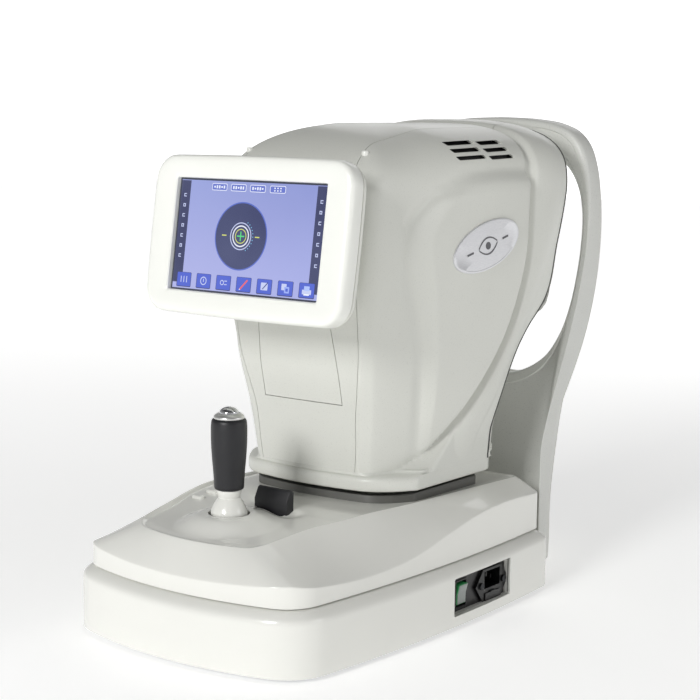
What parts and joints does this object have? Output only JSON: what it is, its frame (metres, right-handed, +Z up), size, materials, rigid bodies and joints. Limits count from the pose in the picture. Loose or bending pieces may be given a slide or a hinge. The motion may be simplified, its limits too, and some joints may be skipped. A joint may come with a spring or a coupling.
{
  "type": "autorefractor",
  "caption": "Table-top autorefractor with a sliding stage, joystick, lifting measuring head, tilting touch screen and a headrest with chin rest.",
  "frame": {"origin": "on the table, under the middle of the instrument's box, headrest included", "axes": "+X to the operator's right, +Y towards the patient, +Z up"},
  "size_m": [0.2636, 0.508, 0.416],
  "materials": {
    "cream_plastic": "moulded, satin gloss",
    "pale_plastic": "moulded, satin gloss",
    "speckled_plastic": "fine speckled texture paint",
    "dark_band": "matt",
    "black_plastic": "matt",
    "black_rubber": "matt",
    "silicone": "soft",
    "switch_green": "translucent green",
    "steel": "ground",
    "chrome": "polished",
    "silver_badge": "satin",
    "alloy": "milled",
    "brass": "turned",
    "lens_glass": "coated",
    "diffuser": "milky",
    "circuit_board": "solder mask",
    "screen": "glossy touch screen",
    "paper": "thermal paper"
  },
  "bodies": {
    "base": {"base_housing": "cream_plastic", "base_plate": "steel", "feet": "black_rubber", "power_panel": "black_plastic", "power_inlet": "black_plastic", "panel_screws": "steel", "depth_racks": "steel", "friction_pad": "black_plastic", "power_supply": "alloy", "headrest_arch": "speckled_plastic", "headrest_back": "cream_plastic", "forehead_pad": "silicone", "chin_motor": "black_plastic"},
    "rocker": {"rocker_switch": "switch_green"},
    "fuse": {"fuse_drawer": "black_plastic"},
    "chin_rest": {"chin_post": "steel", "chin_cup": "cream_plastic"},
    "chin_spindle": {"chin_screw": "brass"},
    "carriage": {"cross_frame": "alloy"},
    "axle": {"cross_axle": "steel"},
    "stage": {"stage_cover": "pale_plastic", "stage_plate": "alloy", "axle_bush": "brass", "turret": "dark_band", "lift_rods": "steel", "lift_motor": "black_plastic", "lift_belt": "black_rubber", "joystick_socket": "black_plastic"},
    "spindle": {"lift_screw": "steel"},
    "pulley": {"motor_pulley": "alloy"},
    "gimbal": {"joystick_gimbal": "steel"},
    "joystick": {"joystick_shaft": "steel", "joystick_bell": "cream_plastic"},
    "grip": {"joystick_grip": "black_rubber", "grip_ring": "chrome"},
    "button": {"capture_button": "chrome"},
    "chin_up": {"chin_up_button": "cream_plastic"},
    "chin_down": {"chin_down_button": "cream_plastic"},
    "lever": {"lock_lever": "black_plastic"},
    "head": {"head_chassis": "alloy", "head_skirt": "cream_plastic", "front_cover": "speckled_plastic", "left_cover": "speckled_plastic", "right_cover": "speckled_plastic", "rear_cover": "speckled_plastic", "badges": "silver_badge", "vent_grilles": "black_plastic", "cover_screws": "steel", "optics_bench": "black_plastic", "objective_lens": "lens_glass", "lamp_ring": "diffuser", "camera_unit": "circuit_board", "monitor_bracket": "steel", "printer_frame": "black_plastic"},
    "fan": {"fan_rotor": "black_plastic"},
    "monitor": {"monitor_bezel": "cream_plastic", "monitor_back": "pale_plastic", "display_panel": "screen"},
    "door": {"printer_door": "speckled_plastic"},
    "roll": {"paper_roll": "paper"}
  },
  "joints": [
    {"name": "stage_depth", "type": "slide", "parent": "base", "child": "carriage", "axis": [0, 1, 0], "range_m": [-0.018, 0.018]},
    {"name": "axle_roll", "type": "hinge", "parent": "carriage", "child": "axle", "pos_m": [0, -0.024, 0.0698], "axis": [1, 0, 0], "range_deg": [-118, 118]},
    {"name": "stage_side", "type": "slide", "parent": "carriage", "child": "stage", "axis": [1, 0, 0], "range_m": [-0.043, 0.043]},
    {"name": "head_lift", "type": "slide", "parent": "stage", "child": "head", "axis": [0, 0, 1], "range_m": [-0.004, 0.025]},
    {"name": "screw_spin", "type": "hinge", "parent": "stage", "child": "spindle", "pos_m": [0, 0.042, 0.103], "axis": [0, 0, 1], "range_deg": [-365, 2255]},
    {"name": "pulley_spin", "type": "hinge", "parent": "stage", "child": "pulley", "pos_m": [0.046, 0.034, 0.093], "axis": [0, 0, 1], "range_deg": [-365, 2255]},
    {"name": "joystick_fore", "type": "hinge", "parent": "stage", "child": "gimbal", "pos_m": [0, -0.176, 0.095], "axis": [1, 0, 0], "range_deg": [-9, 9]},
    {"name": "joystick_side", "type": "hinge", "parent": "gimbal", "child": "joystick", "pos_m": [0, -0.176, 0.095], "axis": [0, 1, 0], "range_deg": [-9, 9]},
    {"name": "grip_twist", "type": "hinge", "parent": "joystick", "child": "grip", "pos_m": [0, -0.176, 0.135], "axis": [0, 0, 1], "range_deg": [-60, 60]},
    {"name": "button_press", "type": "slide", "parent": "grip", "child": "button", "axis": [0, 0, -1], "range_m": [0, 0.0012], "stiffness_N_per_m": 400},
    {"name": "chin_up_press", "type": "slide", "parent": "stage", "child": "chin_up", "axis": [0, 0, -1], "range_m": [0, 0.0012], "stiffness_N_per_m": 400},
    {"name": "chin_down_press", "type": "slide", "parent": "stage", "child": "chin_down", "axis": [0, 0, -1], "range_m": [0, 0.0012], "stiffness_N_per_m": 400},
    {"name": "lever_swing", "type": "hinge", "parent": "stage", "child": "lever", "pos_m": [0.008, -0.131, 0.092], "axis": [1, 0, 0], "range_deg": [-8, 22]},
    {"name": "monitor_tilt", "type": "hinge", "parent": "head", "child": "monitor", "pos_m": [0, -0.12127, 0.31597], "axis": [1, 0, 0], "range_deg": [-5, 12]},
    {"name": "door_swing", "type": "hinge", "parent": "head", "child": "door", "pos_m": [0, -0.0826, 0.184], "axis": [1, 0, 0], "range_deg": [0, 60]},
    {"name": "roll_spin", "type": "hinge", "parent": "head", "child": "roll", "pos_m": [0, -0.05, 0.221], "axis": [1, 0, 0], "continuous": true},
    {"name": "fan_spin", "type": "hinge", "parent": "head", "child": "fan", "pos_m": [0, 0.072, 0.353], "axis": [0, 0, 1], "continuous": true},
    {"name": "chin_lift", "type": "slide", "parent": "base", "child": "chin_rest", "axis": [0, 0, 1], "range_m": [0, 0.06]},
    {"name": "chin_screw_spin", "type": "hinge", "parent": "base", "child": "chin_spindle", "pos_m": [0, 0.216, 0.083], "axis": [0, 0, 1], "range_deg": [-5, 5405]},
    {"name": "switch_rock", "type": "hinge", "parent": "base", "child": "rocker", "pos_m": [0.11552, -0.027, 0.026], "axis": [0, 1, 0], "range_deg": [-8, 8]},
    {"name": "fuse_pull", "type": "slide", "parent": "base", "child": "fuse", "axis": [1, 0, 0], "range_m": [0, 0.018]}
  ],
  "couplings": [
    {"joint": "axle_roll", "follows": "stage_depth", "rad_per_m": -111.11},
    {"joint": "screw_spin", "follows": "head_lift", "rad_per_m": 1570.8},
    {"joint": "pulley_spin", "follows": "head_lift", "rad_per_m": 1570.8},
    {"joint": "chin_screw_spin", "follows": "chin_lift", "rad_per_m": 1570.8}
  ]
}
